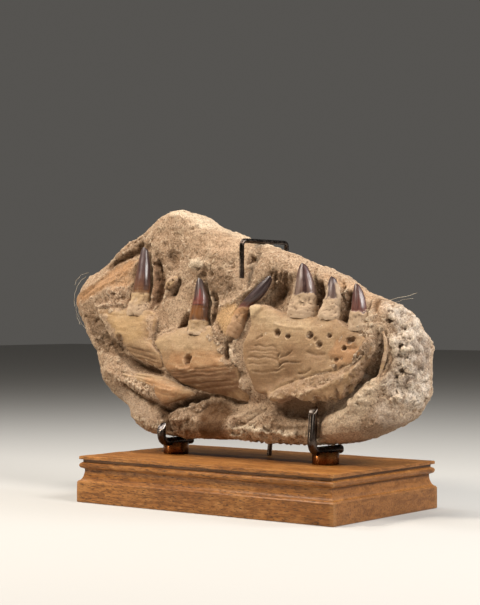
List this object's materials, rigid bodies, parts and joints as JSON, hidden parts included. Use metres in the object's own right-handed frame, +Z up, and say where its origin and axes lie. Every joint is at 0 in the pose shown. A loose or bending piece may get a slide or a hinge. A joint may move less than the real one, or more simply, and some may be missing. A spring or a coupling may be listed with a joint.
{
  "type": "fossil mosasaur jaw on a stand",
  "caption": "Slab of sandy matrix holding broken jaw bones and a row of pointed teeth, leaning on steel hooks and a rear post above a moulded wooden plinth.",
  "frame": {"origin": "middle of the plinth's underside", "axes": "+Z up, +X to the right along the plinth's front, +Y towards the back"},
  "size_m": [0.4504, 0.1842, 0.308],
  "materials": {
    "plinth_wood": "waxed mid-brown hardwood, satin",
    "ferrule_brass": "aged dark brass, satin",
    "hook_steel": "dark patinated steel rod, semi-gloss",
    "sandy_matrix": "rough sandy matrix, matt",
    "jaw_bone": "ochre fossil bone, smooth and matt with striations",
    "tooth_enamel": "dark brown glossy enamel on a pale root"
  },
  "bodies": {
    "root": {"plinth": "plinth_wood", "ferrule_left": "ferrule_brass", "ferrule_right": "ferrule_brass", "hook_left": "hook_steel", "hook_right": "hook_steel", "rear_post": "hook_steel", "matrix": "sandy_matrix", "jaw_left": "jaw_bone", "jaw_middle": "jaw_bone", "jaw_right": "jaw_bone", "lower_splinter": "jaw_bone", "loose_fragment": "jaw_bone", "curved_rib": "jaw_bone", "tooth_1": "tooth_enamel", "tooth_2": "tooth_enamel", "tooth_3": "tooth_enamel", "tooth_4": "tooth_enamel", "tooth_5": "tooth_enamel", "tooth_6": "tooth_enamel"}
  },
  "joints": []
}
